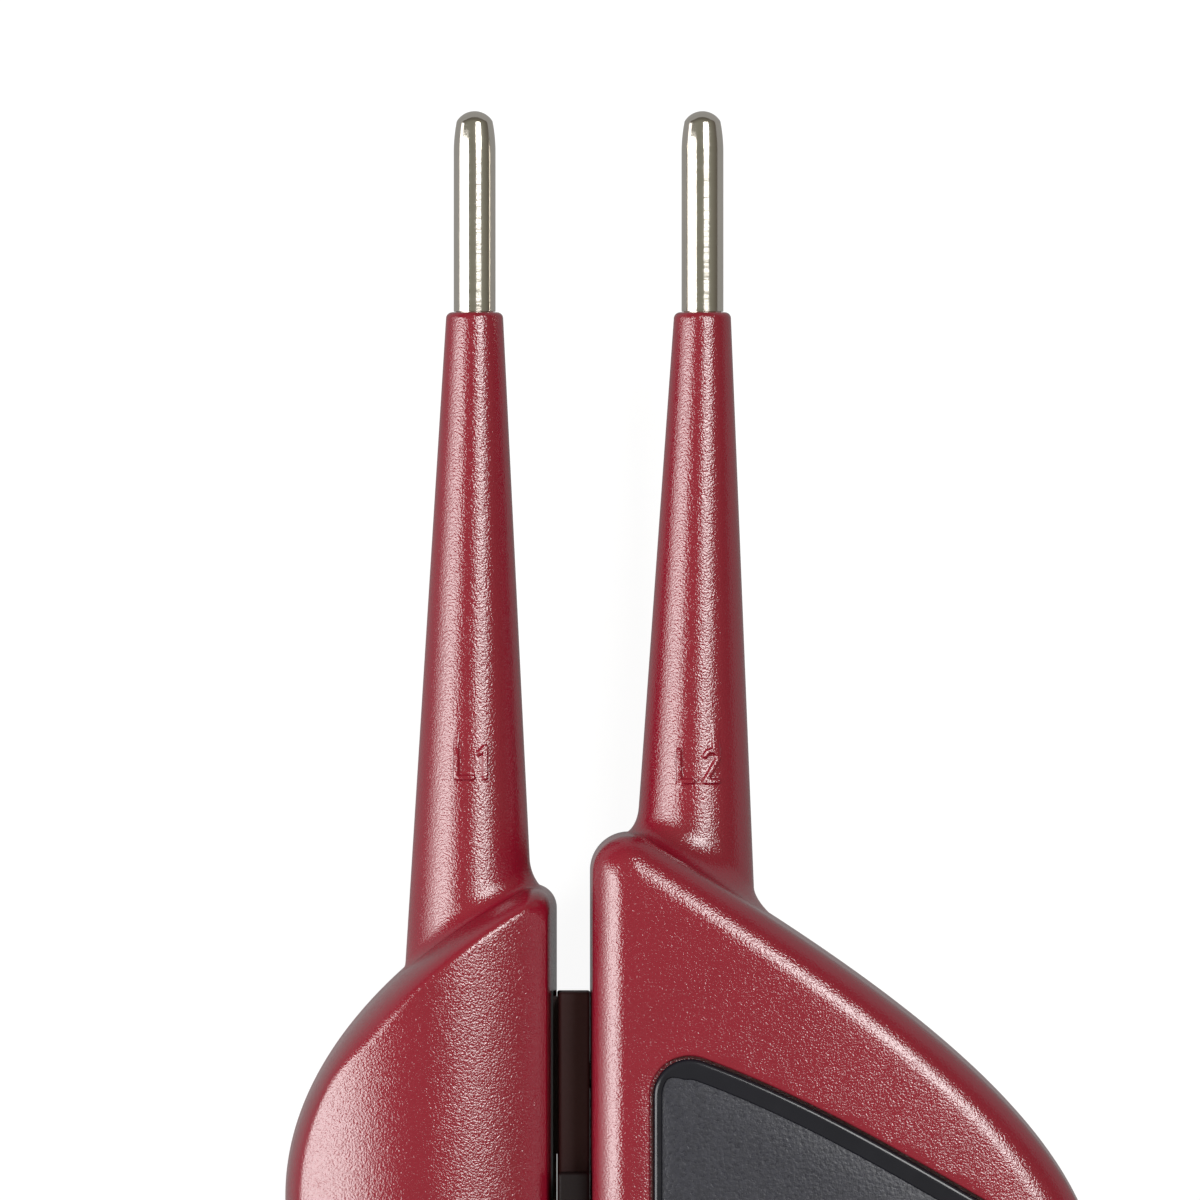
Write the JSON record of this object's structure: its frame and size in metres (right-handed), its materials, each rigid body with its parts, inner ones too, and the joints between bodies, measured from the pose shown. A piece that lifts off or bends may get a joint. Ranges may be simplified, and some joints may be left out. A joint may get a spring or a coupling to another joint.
{
  "type": "two-pole voltage tester",
  "caption": "Two docked hand-held probe handles with finger guards, long tapered insulated necks and rounded contact pins, one handle carrying an indicator panel and a push button.",
  "frame": {"origin": "middle of the bounding box's bottom face, on the surface that the tester lies on", "axes": "+Y towards the contact tips, +Z out of the fronts, +X from the second handle to the display handle"},
  "size_m": [0.0778, 0.24, 0.037],
  "materials": {
    "red_housing": "spark-eroded moulded plastic, dark red",
    "panel": "fine-textured dark grey inlay",
    "lamp_lens": "clear moulded light pipe",
    "led": "moulded lamp chip",
    "board": "green solder mask",
    "screw": "zinc-plated steel",
    "black_plastic": "black moulded plastic",
    "rail_plastic": "brown-black moulded plastic",
    "resistor": "lacquered ceramic body",
    "contact_pin": "nickel-plated turned brass",
    "lead": "brass strip",
    "plunger": "ivory moulded plastic",
    "cell": "plain printed steel can",
    "contact_spring": "nickel-plated spring steel",
    "gland_rubber": "soft black rubber"
  },
  "bodies": {
    "main_handle": {"main_front_shell": "red_housing", "main_rear_shell": "red_housing", "display_panel": "panel", "indicator_lamps": "lamp_lens", "indicator_leds": "led", "main_circuit_board": "board", "board_screws": "screw", "buzzer": "black_plastic", "main_resistors": "resistor", "main_contact_pin": "contact_pin", "main_pin_lead": "lead", "main_switch_body": "black_plastic", "battery_cells": "cell", "battery_contacts": "contact_spring", "battery_cover": "red_housing", "battery_cover_screw": "screw", "main_housing_screws": "screw", "main_cable_gland": "gland_rubber", "docking_rail": "rail_plastic", "rail_screws": "screw"},
    "second_handle": {"second_front_shell": "red_housing", "second_rear_shell": "red_housing", "docking_channel": "black_plastic", "second_contact_pin": "contact_pin", "second_pin_lead": "lead", "second_circuit_board": "board", "second_board_screws": "screw", "second_resistors": "resistor", "second_switch_body": "black_plastic", "second_housing_screws": "screw", "second_cable_gland": "gland_rubber"},
    "main_button_body": {"main_button": "black_plastic", "main_switch_plunger": "plunger"},
    "second_button_body": {"second_button": "black_plastic", "second_switch_plunger": "plunger"}
  },
  "joints": [
    {"name": "dock_slide", "type": "slide", "parent": "main_handle", "child": "second_handle", "axis": [0, 1, 0], "range_m": [0, 0.016]},
    {"name": "main_button_press", "type": "slide", "parent": "main_handle", "child": "main_button_body", "axis": [0, 0, -1], "range_m": [0, 0.0008], "stiffness_N_per_m": 600},
    {"name": "second_button_press", "type": "slide", "parent": "second_handle", "child": "second_button_body", "axis": [0, 0, -1], "range_m": [0, 0.0008], "stiffness_N_per_m": 600}
  ]
}
